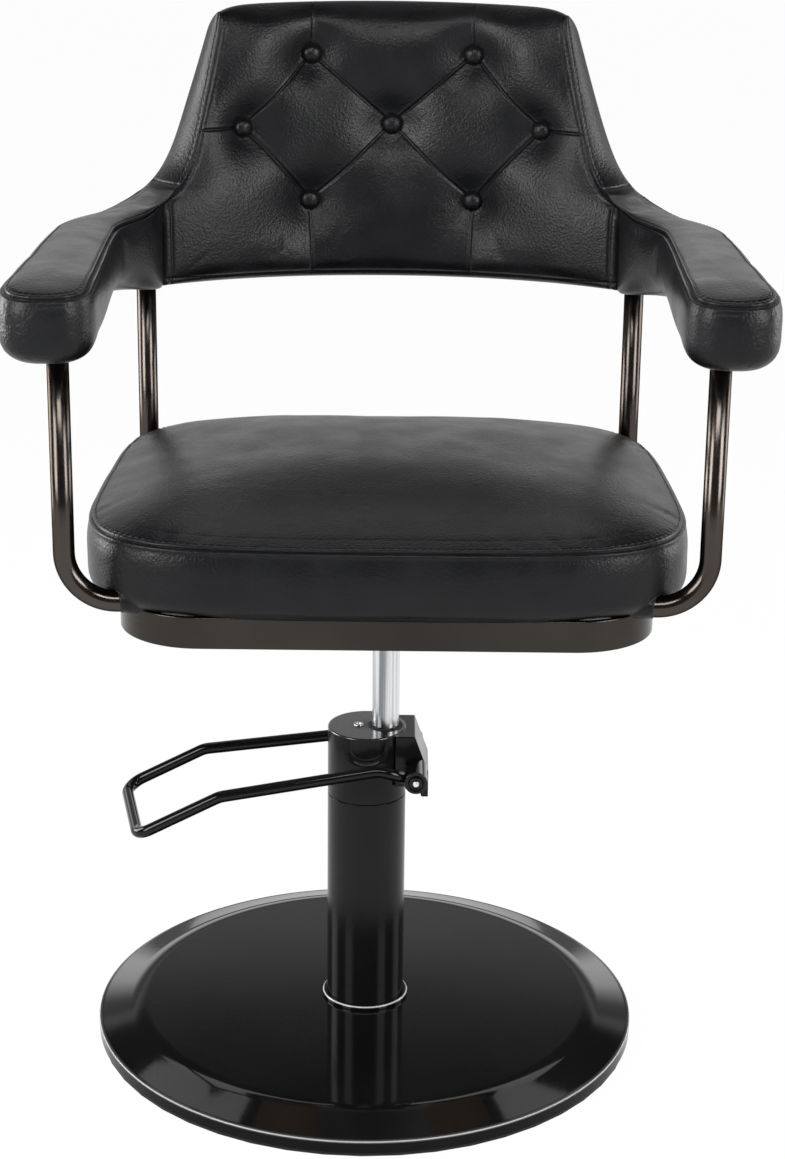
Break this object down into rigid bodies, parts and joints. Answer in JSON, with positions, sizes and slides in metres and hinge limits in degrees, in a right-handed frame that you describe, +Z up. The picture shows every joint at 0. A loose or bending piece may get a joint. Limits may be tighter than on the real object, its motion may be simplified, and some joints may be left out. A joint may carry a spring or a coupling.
{
  "type": "hairdressing chair",
  "caption": "Hairdressing chair with a round base, foot-pumped lift and swivel, padded seat on bent tubes, and a tufted barrel back with padded arms.",
  "frame": {"origin": "on the floor, under the axis of the ram that the seat lifts and turns on", "axes": "+Z up, the chair faces -Y, +X to the right in a view of its front"},
  "size_m": [0.669, 0.5882, 0.992],
  "materials": {
    "black_enamel": "gloss",
    "rubber": "matt",
    "steel": "plain zinc-plated steel",
    "chrome": "satin",
    "brass": "machined",
    "gunmetal": "polished dark nickel plating on steel",
    "plywood": "raw",
    "leather": "smooth coated cover over foam"
  },
  "bodies": {
    "base": {"base_bolt_1": "steel", "base_bolt_2": "steel", "base_bolt_3": "steel", "base_bolt_4": "steel", "base_plate": "black_enamel", "column_collar": "black_enamel", "column_tube": "black_enamel", "filler_screw": "chrome", "floor_pad": "rubber", "foot_flange": "steel", "inner_cylinder": "steel", "pump_head": "black_enamel", "ram_bush": "brass", "wiper_seal": "rubber"},
    "pedal": {"pedal_lever": "black_enamel", "pedal_shaft": "steel", "pedal_hub_front": "black_enamel", "pedal_hub_rear": "black_enamel", "hub_screw_front": "chrome", "hub_screw_rear": "chrome", "pedal_cam": "steel"},
    "plunger": {"pump_plunger": "steel"},
    "ram": {"ram": "chrome", "ram_piston": "steel", "piston_seal": "rubber"},
    "seat": {"arm_board_left": "plywood", "arm_board_right": "plywood", "arm_pad_left": "leather", "arm_pad_right": "leather", "arm_screw_left": "steel", "arm_screw_right": "steel", "back_board": "plywood", "back_bolt_left": "steel", "back_bolt_right": "steel", "back_button_1": "leather", "back_button_2": "leather", "back_button_3": "leather", "back_button_4": "leather", "back_button_5": "leather", "back_button_6": "leather", "back_button_7": "leather", "back_pad": "leather", "frame_bolt_front_left": "steel", "frame_bolt_front_right": "steel", "frame_bolt_rear_left": "steel", "frame_bolt_rear_right": "steel", "front_hoop": "gunmetal", "plate_bolt_front_left": "steel", "plate_bolt_front_right": "steel", "plate_bolt_rear_left": "steel", "plate_bolt_rear_right": "steel", "rear_hoop": "gunmetal", "seat_band": "gunmetal", "seat_board": "plywood", "seat_cushion": "leather", "seat_plate": "steel", "seat_rail_left": "steel", "seat_rail_right": "steel", "seat_socket": "steel"}
  },
  "joints": [
    {"name": "seat_lift", "type": "slide", "parent": "base", "child": "ram", "axis": [0, 0, 1], "range_m": [-0.11, 0.02]},
    {"name": "seat_swivel", "type": "hinge", "parent": "ram", "child": "seat", "pos_m": [0, 0, 0], "axis": [0, 0, 1], "continuous": true},
    {"name": "pedal_press", "type": "hinge", "parent": "base", "child": "pedal", "pos_m": [0.03, 0, 0.2886], "axis": [0, -1, 0], "range_deg": [0, 20], "stiffness_Nm_per_rad": 6, "springref_deg": -22.92},
    {"name": "plunger_stroke", "type": "slide", "parent": "base", "child": "plunger", "axis": [0, 0, -1], "range_m": [0, 0.0034]}
  ],
  "couplings": [
    {"joint": "plunger_stroke", "follows": "pedal_press", "m_per_rad": 0.0095}
  ]
}
